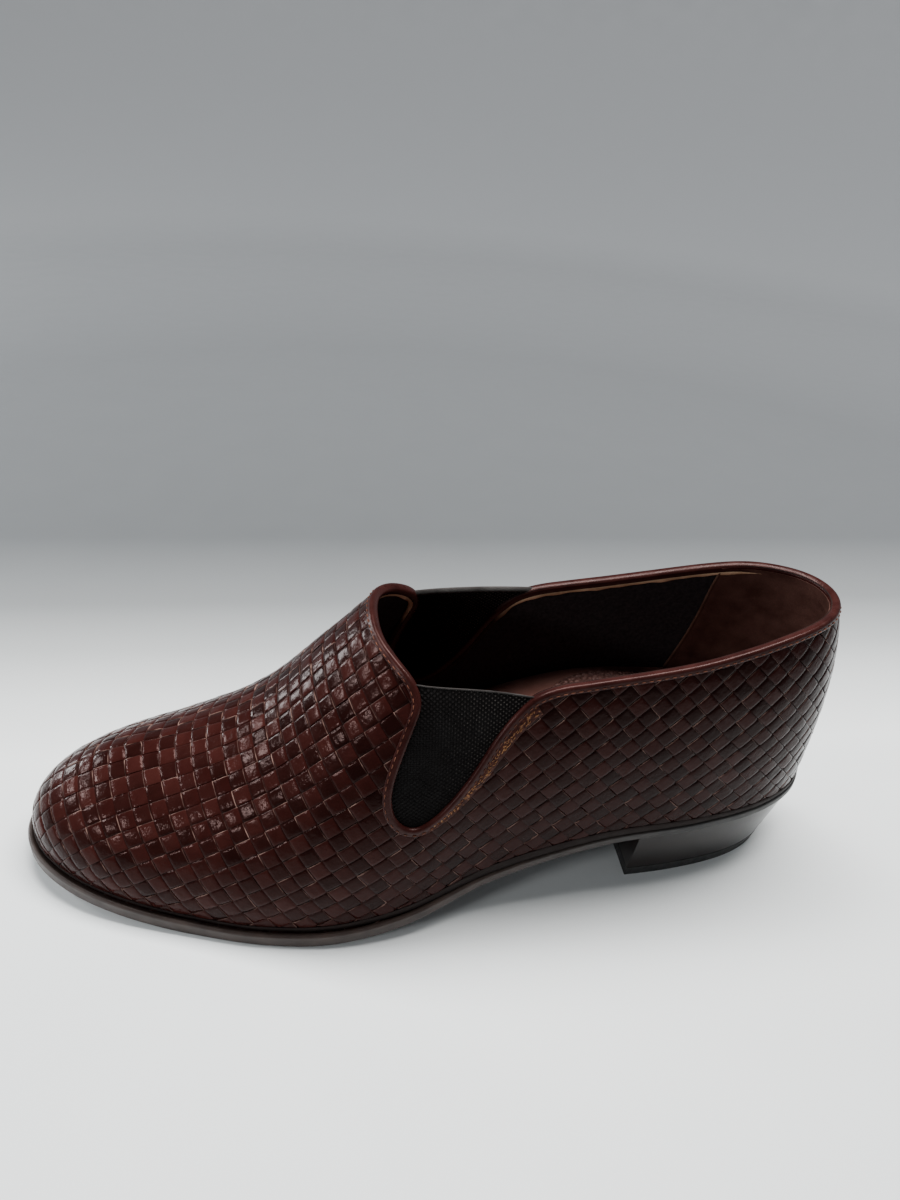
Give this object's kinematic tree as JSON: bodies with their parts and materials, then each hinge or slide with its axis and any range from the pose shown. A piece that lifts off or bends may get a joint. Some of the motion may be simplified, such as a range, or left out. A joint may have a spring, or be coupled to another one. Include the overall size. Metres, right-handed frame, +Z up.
{
  "type": "slip-on shoe",
  "caption": "Left slip-on shoe with a woven leather upper, elastic side gores, a bound collar, a thin outsole and a low tapered block heel.",
  "frame": {"origin": "on the floor, under the middle of the shoe's bounding box", "axes": "+X towards the heel, -X towards the toe, -Y towards the outer side of the foot, +Z up"},
  "size_m": [0.2594, 0.0898, 0.0964],
  "materials": {
    "upper": "woven strips, polished",
    "gore": "ribbed elastic, matt",
    "insole": "smooth, satin",
    "outsole": "satin",
    "heel_block": "lacquered",
    "top_lift": "matt"
  },
  "bodies": {
    "root": {"upper": "upper", "gore_lateral": "gore", "gore_medial": "gore", "insole": "insole", "outsole": "outsole", "heel_block": "heel_block", "top_lift": "top_lift"}
  },
  "joints": []
}
